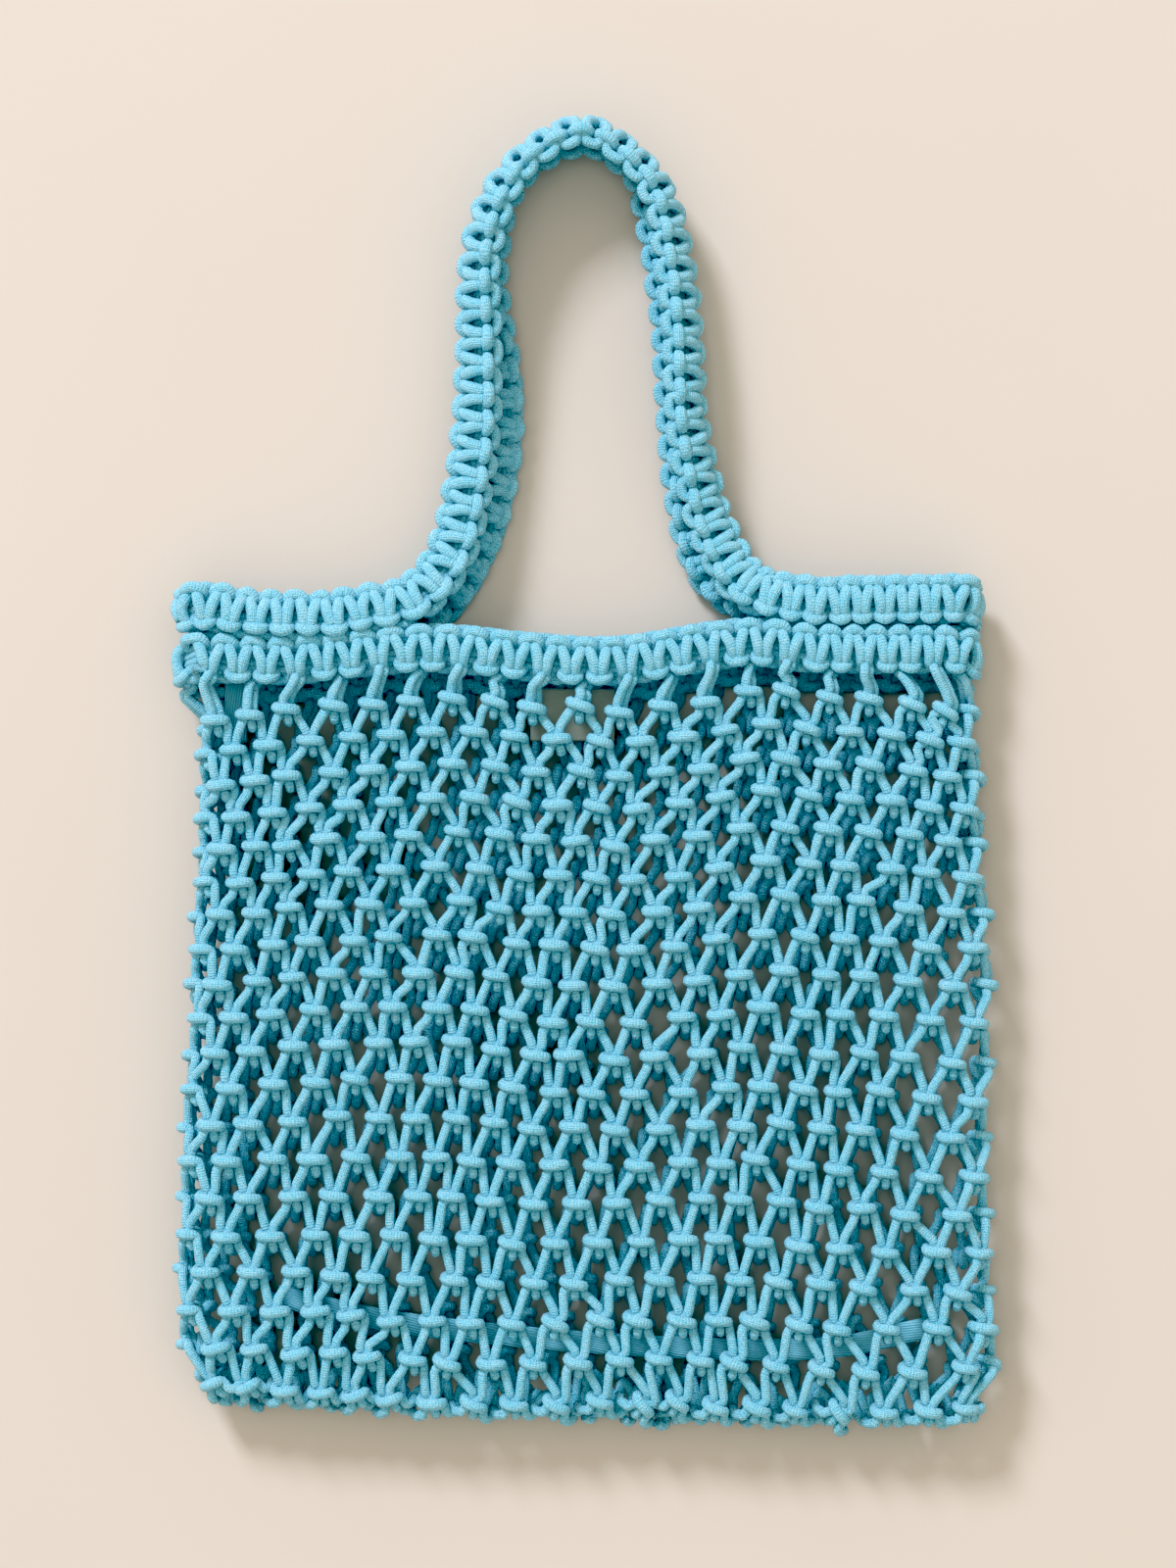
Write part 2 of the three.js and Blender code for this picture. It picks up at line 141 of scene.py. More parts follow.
# Waves in the places of the knots, in rows and in columns: reach, waves round the bag, step of the
# angle from row to row, angle at the start
ROW_WAVES = ((0.07, 4, 0.21, 0), (0.06, 2, -0.47, 2))
COLUMN_WAVES = ((0.09, 5, 0.3, 1),)
# How uneven the knots are, as standard deviations
ROW_SPREAD = 0.035
COLUMN_SPREAD = 0.045
OUT_SPREAD = 0.4
OUT_MOST = 0.6  # limit either way
SIZE_SPREAD = 0.03
FIRST_LEAN_SPREAD = 1  # degrees, in the first row
LEAN_SPREAD = 3  # degrees, below it
LOW_LEAN_SPREAD = 6  # degrees more in the last row
NET_LEAN = 2  # degrees, of the bars between the first row and the last ones
SETTLE_ROWS = 4  # over which waves and unevenness set in
LOW_ROWS = 4  # over which the bars go over to the lean of the last row

# The handles' free loops, from left to right: x, y, z, roll of the outer edge downwards in degrees
FRONT_LOOP = np.array([
    (-104, 75.6, 26.6, 18), (-80, 81, 25.2, 18), (-64, 99.5, 22.8, 20), (-56.5, 125, 21, 25),
    (-51.5, 160, 20.5, 30), (-50, 198, 23.4, 42), (-50, 228, 26.3, 52), (-45, 255, 28, 57),
    (-30, 280, 27.7, 66), (-2.7, 294.2, 27.9, 70), (21, 280.5, 28, 70), (34, 261.5, 27.2, 65),
    (40.2, 231.3, 26, 59), (43.5, 201.5, 26.4, 57), (45, 165, 26.4, 54), (50.8, 134.7, 23, 46),
    (58, 111.5, 21.5, 36), (74, 86.5, 23.5, 18), (104, 79.4, 26.6, 4),
])
BACK_LOOP = np.array([
    (-90, 71, 6.35, 0), (-68, 81.5, 6.5, 0), (-52, 108, 7, -8), (-43.5, 137, 7.9, -18),
    (-40.9, 165, 8.8, -14), (-43, 190, 9.2, 12), (-46.5, 215, 9, 38), (-46.3, 240, 9, 52),
    (-39.3, 268.4, 9.1, 58), (-24, 284.5, 9.3, 66), (-2.7, 292.4, 9.4, 69), (14, 285.5, 9.4, 69),
    (24.5, 275.5, 9.3, 67), (30.2, 257, 9, 62), (35, 231.4, 8.9, 57), (39.4, 203, 9, 52),
    (41, 176.9, 9, 50), (43, 150, 9, 44), (46.1, 130, 9.1, 33), (50.9, 110.3, 8.1, 16),
    (62, 89, 7.1, 4), (96, 73, 6.5, 0),
])
# The seam tape's line inside the bottom: x, y
SEAM_TAPE = np.array([(-143, -239), (-90, -251), (-30, -258), (40, -263), (110, -263), (156, -254)])
SEAM_HEIGHT = 15.0
SEAM_WAVE = 0.8  # how far it waves up and down
SEAM_WAVES = 19.0  # along the whole of it, in radians
TAPE_WIDTH = 10.0
TAPE_THICK = 1.2
LABEL_WIDTH = 39.0
LABEL_THICK = 0.8
STRIP_POINTS = 24  # along the side tape and the label


def unit(vectors):
    """Each vector divided by its own length."""
    return vectors / np.linalg.norm(vectors, axis=-1, keepdims=True)


def smooth(share):
    """Three times the share's square less twice its cube, with the share kept from 0 to 1."""
    share = np.clip(share, 0, 1)
    return share * share * (3 - 2 * share)


def eased(table, column, place):
    """A column of a table at a place along its first column, going smoothly from row to row."""
    places = table[:, 0]
    row = np.clip(np.searchsorted(places, place) - 1, 0, len(places) - 2)
    w = smooth((place - places[row]) / (places[row + 1] - places[row]))
    return table[row, column] * (1 - w) + table[row + 1, column] * w


def through(points, steps):
    """A smooth path through points, any number of paths at once: between two points a cubic whose
    slope at each point is half the way from the point before to the point after, sampled in equal
    steps."""
    first = 2 * points[..., :1, :] - points[..., 1:2, :]
    last = 2 * points[..., -1:, :] - points[..., -2:-1, :]
    p = np.concatenate([first, points, last], axis=-2)
    t = (np.arange(steps) / steps)[:, None]
    weights = np.hstack([-t / 2 + t**2 - t**3 / 2, 1 - 2.5 * t**2 + 1.5 * t**3,
                         t / 2 + 2 * t**2 - 1.5 * t**3, -t**2 / 2 + t**3 / 2])
    spans = np.stack([p[..., :-3, :], p[..., 1:-2, :], p[..., 2:-1, :], p[..., 3:, :]], axis=-2)
    path = np.einsum("sk,...pkd->...psd", weights, spans)
    path = path.reshape(*points.shape[:-2], -1, points.shape[-1])
    return np.concatenate([path, points[..., -1:, :]], axis=-2)


def evenly(path, count):
    """A path resampled at equal lengths along itself, and its length."""
    length = np.concatenate([[0], np.cumsum(np.linalg.norm(np.diff(path[:, :3], axis=0), axis=1))])
    places = np.linspace(0, length[-1], count)
    line = np.stack([np.interp(places, length, values) for values in path.T], axis=1)
    return line, length[-1]


def grid_mesh(name, points, uv, wrap_around, wrap_along=False, capped=False):
    """A mesh of quads over grids of points, (grids, along, around, 3), with a UV for each corner.
    Grids can close round and along themselves, and open tubes end in a flat cap."""
    grids, along, around = points.shape[:3]
    index = np.arange(grids * along * around).reshape(grids, along, around)
    if wrap_around:
        index = np.concatenate([index, index[:, :, :1]], axis=2)
    if wrap_along:
        index = np.concatenate([index, index[:, :1]], axis=1)
    corners = [index[:, :-1, :-1], index[:, :-1, 1:], index[:, 1:, 1:], index[:, 1:, :-1]]
    loops = np.stack(corners, axis=-1).reshape(-1)
    places = [uv[:, :-1, :-1], uv[:, :-1, 1:], uv[:, 1:, 1:], uv[:, 1:, :-1]]
    loop_uv = np.stack(places, axis=-2).reshape(-1, 2)
    starts = np.arange(0, len(loops), 4)
    if capped:
        caps = np.concatenate([index[:, 0, -2::-1], index[:, -1, :-1]])
        cap_uv = np.concatenate([uv[:, 0, -2::-1], uv[:, -1, :-1]])
        starts = np.concatenate([starts, len(loops) + np.arange(len(caps)) * caps.shape[1]])
        loops = np.concatenate([loops, caps.reshape(-1)])
        loop_uv = np.concatenate([loop_uv, cap_uv.reshape(-1, 2)])
    mesh = bpy.data.meshes.new(name)
    mesh.vertices.add(points.size // 3)
    mesh.vertices.foreach_set("co", (points * MM).reshape(-1).astype(np.float32))
    mesh.loops.add(len(loops))
    mesh.loops.foreach_set("vertex_index", loops.astype(np.int32))
    mesh.polygons.add(len(starts))
    mesh.polygons.foreach_set("loop_start", starts.astype(np.int32))
    mesh.update(calc_edges=True)
    layer = mesh.uv_layers.new(name="surface")
    layer.uv.foreach_set("vector", loop_uv.reshape(-1).astype(np.float32))
    mesh.polygons.foreach_set("use_smooth", np.ones(len(starts), dtype=bool))
    mesh.validate()
    piece = bpy.data.objects.new(name, mesh)
    bpy.context.collection.objects.link(piece)
    return piece


def cord_piece(name, course, closed=False):
    """Round cords: a ring of points carried along each course, (cords, places, x y z radius),
    turning only as the path turns, and kept off the floor. The UV is the share of the way round and
    the length along in metres."""
    paths, radius = course[..., :3].copy(), course[..., 3]
    paths[..., 2] = np.maximum(paths[..., 2], radius + FLOOR_GAP)
    if closed:
        tangent = unit(np.roll(paths, -1, axis=1) - np.roll(paths, 1, axis=1))
    else:
        tangent = unit(np.gradient(paths, axis=1))
    across = np.empty_like(paths)
    side = np.cross(tangent[:, 0], RING_START)
    for place in range(paths.shape[1]):
        ahead = tangent[:, place]
        side = unit(side - np.sum(side * ahead, axis=-1, keepdims=True) * ahead)
        across[:, place] = side
    upward = np.cross(tangent, across)
    angle = np.linspace(0, 2 * np.pi, CORD_SIDES, endpoint=False)[:, None]
    reach = radius[..., None, None]
    ring = np.cos(angle) * across[:, :, None] + np.sin(angle) * upward[:, :, None]
    points = paths[:, :, None] + reach * ring
    follower = paths[:, :1] if closed else paths[:, -1:]
    step = np.linalg.norm(np.diff(paths, axis=1, append=follower), axis=-1)
    length = np.concatenate([np.zeros((len(paths), 1)), np.cumsum(step, axis=1)], axis=1)
    length = length if closed else length[:, :-1]
    shape = (len(paths), length.shape[1], CORD_SIDES + 1)
    share = np.broadcast_to(np.linspace(0, 1, CORD_SIDES + 1), shape)
    uv = np.stack([share, np.broadcast_to(length[..., None] * MM, shape)], axis=-1)
    return grid_mesh(name, points, uv, wrap_around=True, wrap_along=closed, capped=not closed)


def mouth_y(x, front):
    """The y of the mouth band's middle line: the front line's, less a drop towards the back."""
    return eased(MOUTH, 1, x) - BACK_DROP * (1 - front)


def side_turn(end, side, start, stop, above):
    """Points of a band's half turn round one side of the bag, between two angles from level, on the
    mouth band's line or in the row above it. The half circle has TURN as its radius and ends
    furthest out at end."""
    angle = np.linspace(start, stop, TURN_POINTS)
    x = end + side * TURN * (np.cos(angle) - 1)
    front = (np.sin(angle) + 1) / 2
    y = mouth_y(x, front) + above * eased(ROWS_ABOVE, 1, x)
    return np.stack([x, y, MIDDLE_Z + TURN * np.sin(angle), 0 * x], axis=1)


def along_mouth(start, stop, front, above):
    """Points of a band's straight stretch along the mouth, on the mouth band's line or in the row
    above it."""
    x = np.linspace(start, stop, ROW_POINTS + 2)[1:-1]
    y = mouth_y(x, front) + above * eased(ROWS_ABOVE, 1, x)
    z = np.full_like(x, FRONT_Z if front else BACK_Z)
    roll = above * front * eased(ROWS_ABOVE, 2, x)
    return np.stack([x, y, z, roll], axis=1)


class Band:
    """A band's middle line with, at each place, its width's direction and its face's, so that a
    point is given by its length along the band, its way across and its height over the middle."""

    def __init__(self, path, upright, closed=False):
        """The width is Y squared to the path where upright, and otherwise level with the floor,
        then rolled."""
        count = 1600
        line, self.length = evenly(path, count)
        self.along = np.linspace(0, self.length, count)
        self.closed = closed
        self.centre = line[:, :3]
        ahead = unit(np.gradient(self.centre, axis=0))
        standing = unit(np.array([0, 1.0, 0]) - ahead[:, 1:2] * ahead)
        level = np.stack([-ahead[:, 1], ahead[:, 0], 0 * ahead[:, 0]], axis=1)
        steep = np.abs(ahead[:, 2:]) > np.sqrt(0.5)  # by more than 45 degrees
        # The level direction is nudged off zero, which it would be where a path stands upright
        width = standing if upright else np.where(steep, standing, unit(level + 1e-9))
        face = np.cross(ahead, width)
        roll = np.radians(line[:, 3:4])
        self.across = np.cos(roll) * width - np.sin(roll) * face
        self.face = np.cross(ahead, self.across)

    def place(self, local):
        """Points (..., 3) given as length along, way across and height over the middle line."""
        at = local[..., 0] % self.length if self.closed else local[..., 0]

        def take(values):
            return np.stack([np.interp(at, self.along, values[:, k]) for k in range(3)], axis=-1)

        overrun = 0 if self.closed else (local[..., 0] - np.clip(at, 0, self.length))[..., None]
        ahead = np.cross(take(self.across), take(self.face))
        return (take(self.centre) + overrun * ahead + take(self.across) * local[..., 1:2]
                + take(self.face) * local[..., 2:3])


# One square knot of a band, in knot lengths along, millimetres across and up, and the cord's
# radius. The front cord zigzags over the core and turns outside each edge, half way between the
# loops of the back cord, which lie over its ends.
FRONT_CORD = np.array([
    (0.355, -5.4, 3.0, 2.25), (0.31, -0.5, 4.4, 2.45), (0.19, 4.2, 3.7, 2.35),
    (0.125, 6.8, 1.0, 2.1), (0.17, 8.6, -1.4, 2.1), (0.34, 9.7, -2.9, 2.15),
    (0.66, 9.7, -2.9, 2.15), (0.83, 8.6, -1.4, 2.1), (0.875, 6.8, 1.0, 2.1), (0.81, 4.2, 3.7, 2.35),
    (0.69, -0.5, 4.4, 2.45), (0.645, -5.4, 3.0, 2.25), (0.64, -7.6, 0.6, 2.05),
    (0.68, -8.8, -1.4, 2.1), (0.84, -9.7, -2.9, 2.15), (1.16, -9.7, -2.9, 2.15),
    (1.32, -8.8, -1.4, 2.1), (1.36, -7.6, 0.6, 2.05),
])
BACK_CORD = np.array([
    (-0.37, 4.6, -2.6, 2.1), (-0.37, 5.8, 0.0, 2.1), (-0.32, 7.5, 1.8, 2.25),
    (-0.17, 8.9, 2.8, 2.4), (0.0, 9.3, 3.1, 2.4), (0.17, 8.9, 2.8, 2.4), (0.32, 7.5, 1.8, 2.25),
    (0.37, 5.8, 0.0, 2.1), (0.37, 4.6, -2.6, 2.1), (0.33, 3.0, -4.0, 2.2), (0.25, 0.0, -4.3, 2.3),
    (0.19, -3.0, -4.0, 2.2), (0.16, -4.6, -2.6, 2.1), (0.165, -5.9, 0.0, 2.1),
    (0.2, -7.6, 1.8, 2.2), (0.34, -8.9, 2.8, 2.3), (0.5, -9.3, 3.1, 2.35), (0.66, -8.9, 2.8, 2.3),
    (0.8, -7.6, 1.8, 2.2), (0.835, -5.9, 0.0, 2.1), (0.84, -4.6, -2.6, 2.1),
    (0.81, -3.0, -4.0, 2.2), (0.75, 0.0, -4.3, 2.3), (0.67, 3.0, -4.0, 2.2),
])
# The back cord's points on the lower edge, and where they go, across and up, at a hook
LOWER_LOOP = slice(13, 20)
TUCKED_LOOP = np.array([
    (-5.9, -2.4), (-6.8, -3.2), (-7.2, -3.6), (-7.3, -3.7), (-7.2, -3.6), (-6.8, -3.2),
    (-5.9, -2.4),
])
CORE_RADIUS = 1.8
CORE_HEIGHT = -0.3
CORE_ACROSS = (-4.5, -1.5, 1.5, 4.5)
CORE_POINTS = 3  # to a knot
# How uneven the bands' cords are, as standard deviations
KNOT_SPREAD = 0.18  # across and up
KNOT_SPREAD_ALONG = 0.012  # in knot lengths
CORE_SPREAD = 0.22
HANDLE_PLACES = 200  # along a handle, at which its knots are counted up


def band_cords(name, band, knots, places, width, fullness, hooks=()):
    """The cords of a knotted band: one knot's points repeated along it with a little unevenness,
    and the core cords. Width and fullness multiply the knot's width and the cord's radius. At a
    hook the edge loop stays behind, where another cord comes over the edge. A closed cord is led on
    past both its ends, so that its slopes meet there."""
    number = np.arange(knots)[:, None]

    def repeated(template):
        local = np.repeat(template[None], knots, axis=0)
        local[..., 0] += number
        local[..., 1] *= width
        local[..., 3] *= fullness
        local[..., 1:3] += chance.normal(0, KNOT_SPREAD, local[..., 1:3].shape)
        local[..., 0] += chance.normal(0, KNOT_SPREAD_ALONG, local[..., 0].shape)
        return local.reshape(1, -1, 4)

    front = repeated(FRONT_CORD)
    back = repeated(BACK_CORD)
    back.reshape(knots, -1, 4)[list(hooks), LOWER_LOOP, 1:3] = TUCKED_LOOP
    core_number = np.arange(0, knots, 1 / CORE_POINTS)
    core = np.zeros((len(CORE_ACROSS), len(core_number), 4))
    core[..., 0] = core_number
    core[..., 1] = np.array(CORE_ACROSS)[:, None] * width
    core[..., 2:] = (CORE_HEIGHT, CORE_RADIUS)
    core[..., 1:3] += chance.normal(0, CORE_SPREAD, core[..., 1:3].shape)
    pieces = []
    for part, local, steps in (("front", front, 3), ("back", back, 2), ("core", core, 2)):
        if band.closed:
            lap = np.array([knots, 0, 0, 0])
            local = np.concatenate([local[:, -2:] - lap, local, local[:, :3] + lap], axis=1)
        along = np.interp(local[..., :1], places[:, 0], places[:, 1])
        course = band.place(np.concatenate([along, local[..., 1:3]], axis=-1))
        course = through(np.concatenate([course, local[..., 3:]], axis=-1), steps)
        if band.closed:
            course = course[:, 2 * steps:-2 * steps - 1]
        pieces.append(cord_piece(f"{name}_{part}_cords", course, band.closed))
    return pieces


def mouth_band_line():
    """The closed line of the mouth band: front from left to right, the right side, the back, the
    left side."""
    left, right = BAND_ENDS
    quarter = np.pi / 2
    line = np.concatenate([
        along_mouth(left + TURN, right - TURN, 1, 0), side_turn(right, 1, quarter, -quarter, 0),
        along_mouth(right - TURN, left + TURN, 0, 0), side_turn(left, -1, -quarter, quarter, 0),
    ])
    start = np.argmin(line[:, 0])
    line = np.roll(line, -start, axis=0)
    return np.concatenate([line, line[:1]])


def handle_line(loop, front):
    """A handle's line: from the left side along the mouth, round its free loop, and along the mouth
    to the right."""
    left, right = BAND_ENDS
    flat = np.pi / 2 if front else -np.pi / 2
    line = np.concatenate([
        side_turn(left, -1, 0, flat, 1),
        along_mouth(left + TURN, loop[0, 0] - LIFT_OFF, front, 1), loop,
        along_mouth(loop[-1, 0] + LIFT_OFF, right - TURN, front, 1),
        side_turn(right, 1, flat, 0, 1),
    ])
    return through(line, steps=8)


def handle_knots(length, lead):
    """Places of a handle's knots: their number, counted up along it by the inverse of the knot
    length there, against the length along. The first knot comes a lead, in knots, after the end."""
    along = np.linspace(0, length, HANDLE_PLACES)
    density = 1 / eased(HANDLE_KNOTS, 1, along / length)
    number = np.concatenate([[0], np.cumsum((density[1:] + density[:-1]) / 2 * np.diff(along))])
    count = round(number[-1])
    return np.column_stack([number * count / number[-1] - lead, along]), count


def first_knot(column, item):
    """One item of FIRST_KNOTS at a column, going straight from row to row."""
    return np.interp(column % COLUMNS, FIRST_KNOTS[:, 0], FIRST_KNOTS[:, item])


def net_along(column, row):
    """Length round the bag of a column: under the mouth that of its place on the mouth band, going
    over smoothly to even lengths lower down."""
    number = FIRST_HOOK + KNOTS_PER_COLUMN * column
    laps = np.floor(number / MOUTH_KNOTS)
    hung = np.interp(number - laps * MOUTH_KNOTS, *KNOT_PLACES.T) + laps * MOUTH_ROUND
    even = np.interp(FIRST_HOOK, *KNOT_PLACES.T) + column * MOUTH_ROUND / COLUMNS
    w = smooth(row / EVEN_ROW)
    return ((hung - first_knot(column, HANG_LEFT)) * (1 - w) + even * w - NET_SHIFT) % MOUTH_ROUND


def net_place(column, row):
    """The net's middle surface. Columns go from the left side over the front to the right side,
    half way, and back underneath. The section is the mouth band's, two straights joined by half
    circles, with its ends drawn in or out to the outline there. The front bulges by a sine down the
    bag. The way down has a share with the square of the row, so that rows are closer towards the
    mouth, and the last rows turn towards the middle height by the cosine of their turn."""
    left, right = BAND_ENDS
    down = (row + 1) / (ROWS + 1)
    straight = right - left - 2 * TURN
    quarter = np.pi * TURN / 2
    s = net_along(column, row)
    rise, over = s / TURN, s - quarter
    fall, under = (s - quarter - straight) / TURN, s - 3 * quarter - straight
    climb = (s - 3 * quarter - 2 * straight) / TURN
    stretch = [s < quarter, s < quarter + straight,
               s < 3 * quarter + straight, s < 3 * quarter + 2 * straight]
    x = np.select(stretch, [left + TURN * (1 - np.cos(rise)), left + TURN + over,
                            right - TURN + TURN * np.sin(fall), right - TURN - under],
                  left + TURN - TURN * np.sin(climb))
    lift = np.select(stretch, [np.sin(rise), 1 + 0 * s, np.cos(fall), -1 + 0 * s], -np.cos(climb))
    draw_left = eased(NET_OUTLINE, 1, down) + NET_HALF - left
    draw_right = eased(NET_OUTLINE, 2, down) - NET_HALF - right
    reach = np.interp(row, (0, EVEN_ROW), EDGE_REACH)
    x = x + (draw_left * np.clip(1 - (x - left) / reach, 0, 1) ** 2
             + draw_right * np.clip(1 - (right - x) / reach, 0, 1) ** 2)
    high = FRONT_Z + NET_BULGE * np.sin(np.pi * np.clip(down, 0, 1))
    radius = (high - NET_LOW) / 2
    turn = np.clip((row - ROWS + TURN_ROWS) / TURN_ROWS, 0, MOST_TURN) * BOTTOM_TURN
    z = NET_LOW + radius + radius * lift * np.cos(turn)
    top = mouth_y(x, (lift + 1) / 2) - BAND_LOWER_EDGE - first_knot(column, BELOW)
    last = eased(BOTTOM, 1, x) + BOTTOM_EDGE
    t = row / ROWS
    y = top + (last - top) * ((1 - CLOSER_ROWS) * t + CLOSER_ROWS * t * np.abs(t))
    return np.stack([x, y, z], axis=-1)


def waves(table, columns, rows):
    """A sum of sine waves over the net. Each angle goes a whole number of times round the bag, and
    by its own step from row to row."""
    round_bag = 2 * np.pi * columns / COLUMNS
    return sum(reach * np.sin(number * round_bag + rows * step + start)
               for reach, number, step, start in table)


class Knots:
    """Places and directions of all the net's knots, (rows, columns, 3): right along the row, up and
    out."""

    def __init__(self):
        rows = np.arange(ROWS + 1)[:, None]
        columns = np.arange(COLUMNS)[None] + 0.5 * (rows % 2)
        size = (ROWS + 1, COLUMNS)
        settle = np.minimum(1, rows / SETTLE_ROWS)
        drift = waves(COLUMN_WAVES, columns, rows) + chance.normal(0, COLUMN_SPREAD, size)
        sway = waves(ROW_WAVES, columns, rows) + chance.normal(0, ROW_SPREAD, size)
        column = columns + drift * settle
        row = rows + sway * settle
        nudge = 0.05
        place = net_place(column, row)
        ahead = unit(net_place(column + nudge, row) - net_place(column - nudge, row))
        down = unit(net_place(column, row + nudge) - net_place(column, row - nudge))
        self.out = unit(np.cross(down, ahead))
        outward = np.clip(chance.normal(0, OUT_SPREAD, size), -OUT_MOST, OUT_MOST)
        self.place = place + self.out * outward[..., None]
        low = np.clip((rows - ROWS + LOW_ROWS) / LOW_ROWS, 0, 1)
        lean = np.where(rows > 0, NET_LEAN, first_knot(columns, LEAN))
        lean = lean * (1 - low) + np.interp(place[..., 0], *BOTTOM_LEAN.T) * low
        spread = np.where(rows > 0, LEAN_SPREAD + LOW_LEAN_SPREAD * low, FIRST_LEAN_SPREAD)
        tilt = np.radians(lean + chance.normal(0, 1, size) * spread)[..., None]
        level_up = np.cross(self.out, ahead)
        self.right = np.cos(tilt) * ahead + np.sin(tilt) * level_up
        self.up = np.cos(tilt) * level_up - np.sin(tilt) * ahead
        self.scale = chance.normal(1, SIZE_SPREAD, size)

    def points(self, template, rows, columns):
        """A cord's points at these knots: the template's right, up and out from each knot's place,
        and its radius."""
        k = (rows, columns)
        local = template * self.scale[k][..., None, None]
        place = (self.place[k][..., None, :] + self.right[k][..., None, :] * local[..., 0:1]
                 + self.up[k][..., None, :] * local[..., 1:2]
                 + self.out[k][..., None, :] * local[..., 2:3])
        return np.concatenate([place, local[..., 3:] * NET_FULLNESS], axis=-1)


# One knot of the net: right, up and out from its middle, and the cord's radius. The carrier cord
# runs straight through from the upper right. The tying cord comes from the upper left, turns up
# behind, crosses the front as a bar and leaves to the lower right.
CARRIER = np.array([
    (2.5, 5.4, 0.9, 2.1), (1.4, 2.2, 0.6, 2.1), (-3.2, -2.2, 0.6, 2.1), (-4.6, -5.2, 1.2, 2.1),
])
TYING = np.array([
    (-2.1, 5.4, 0.2, 2.1), (-1.4, 2.2, -0.9, 2.1), (0.3, -1.6, -1.3, 2.1), (0.8, -5.0, 0.3, 2.1),
    (0.9, -6.2, -2.2, 2.1), (0.4, -2.6, -4.6, 2.1), (-1.2, 1.2, -5.2, 2.1), (-3.4, 1.7, -3.8, 2.1),
    (-4.7, 1.0, -0.8, 2.2), (-4.0, 0.45, 2.7, 2.3), (0.0, 0.1, 4.2, 2.35), (4.0, -0.35, 2.7, 2.3),
    (4.6, -1.2, -0.6, 2.2), (5.2, -4.3, -0.8, 2.1),
])
# What the knots of the first row have for their first two points
FIRST = {
    "carrier": np.array([(-0.8, 5.2, 1.6, 2.25), (-1.2, 2.0, 0.9, 2.2)]),
    "tying": np.array([(1.9, 5.0, -1.0, 2.15), (1.8, 1.6, -1.6, 2.1)]),
}
# From the mouth band's edge to the first row: length along, across and up, and the share of the
# first knot's hang to the left that is taken up there, for the pairs that hook over the edge and
# those that come from behind it
HOOK = {
    "carrier": [(0.0, -7.2, -2.8, 0), (0.0, -7.5, 2.2, 0),
                (-0.2, -9.4, 4.9, 0.1), (-0.6, -13.2, 4.2, 0.55)],
    "tying": [(2.2, -7.0, -3.0, 0), (2.4, -8.2, 0.6, 0),
              (2.2, -10.4, 1.8, 0.15), (1.8, -13.0, 0.4, 0.6)],
}
BEHIND = {
    "carrier": [(0.0, -5.0, -4.6, 0), (0.0, -8.2, -2.8, 0),
                (-0.2, -11.0, -0.2, 0.1), (-0.6, -13.2, 1.2, 0.6)],
    "tying": [(2.4, -5.0, -5.0, 0), (2.4, -8.6, -4.8, 0),
              (2.2, -11.2, -3.6, 0.15), (1.8, -13.6, -2.4, 0.6)],
}
# Where the cords go on from the last row, measured as in a knot
ENDS = {
    "carrier": np.array([(-5.6, -5.6, -0.2, 2.15), (-7.8, -6.6, -2.4, 2.15),
                         (-9.8, -5.0, -5.4, 2.1)]),
    "tying": np.array([(5.8, -6.0, -1.2, 2.15), (8.0, -6.8, -3.0, 2.15),
                       (10.0, -4.8, -6.0, 2.1)]),
}
# The cords' ends, tied off inside along the bottom
TIED_REACH = (-168, 172)  # x
TIED_SPACING = 7.5
TIED_SPREAD = 1.6  # standard deviation of their places along
TIED_UP = (5.0, 13.0, 26.0)  # way up from the edge to the near turns, and least and most to the far
TIED_HEIGHT = (13.5, 18.0)  # least and most


def net_cords(band):
    """All the net's cords: from the mouth band down through a knot in every row. Tying cords move
    half a column to the right each row, and carrier cords half a column to the left."""
    knots = Knots()
    cord = np.arange(COLUMNS)
    rows = np.arange(ROWS + 1)[None]
    at = np.interp(FIRST_HOOK + KNOTS_PER_COLUMN * cord, *KNOT_PLACES.T)
    lag = first_knot(cord, HANG_LEFT)
    hooked = (cord % 2 == 0)[:, None, None]
    made = {}
    for kind, template, columns in (
        ("carrier", CARRIER, (cord[:, None] - (rows + 1) // 2) % COLUMNS),
        ("tying", TYING, (cord[:, None] + rows // 2) % COLUMNS),
    ):
        body = knots.points(template, rows, columns)
        body[:, 0, :2] = knots.points(FIRST[kind], 0 * cord, cord)
        start = np.where(hooked, HOOK[kind], BEHIND[kind])
        start[..., 0] += at[:, None] - start[..., 3] * lag[:, None]
        start = band.place(start[..., :3])
        start = np.concatenate([start, np.full(start[..., :1].shape, CORD)], axis=-1)
        end = knots.points(ENDS[kind], 0 * cord + ROWS, columns[:, -1])
        course = np.concatenate([start, body.reshape(COLUMNS, -1, 4), end], axis=1)
        made[kind] = through(course, steps=2)
    return made


def tied_ends():
    """Two cords that run to and fro inside the bottom, from near its edge up to uneven heights and
    back."""
    x = np.arange(*TIED_REACH, TIED_SPACING)
    size = (2, len(x))
    along = x + chance.normal(0, TIED_SPREAD, size)
    near, least, most = TIED_UP
    far = (np.arange(len(x)) + np.arange(2)[:, None]) % 2
    up = np.where(far, chance.uniform(least, most, size), near)
    z = chance.uniform(*TIED_HEIGHT, size)
    course = np.stack([along, eased(BOTTOM, 1, along) + up, z, np.full(size, CORD)], axis=-1)
    return through(course, steps=5)


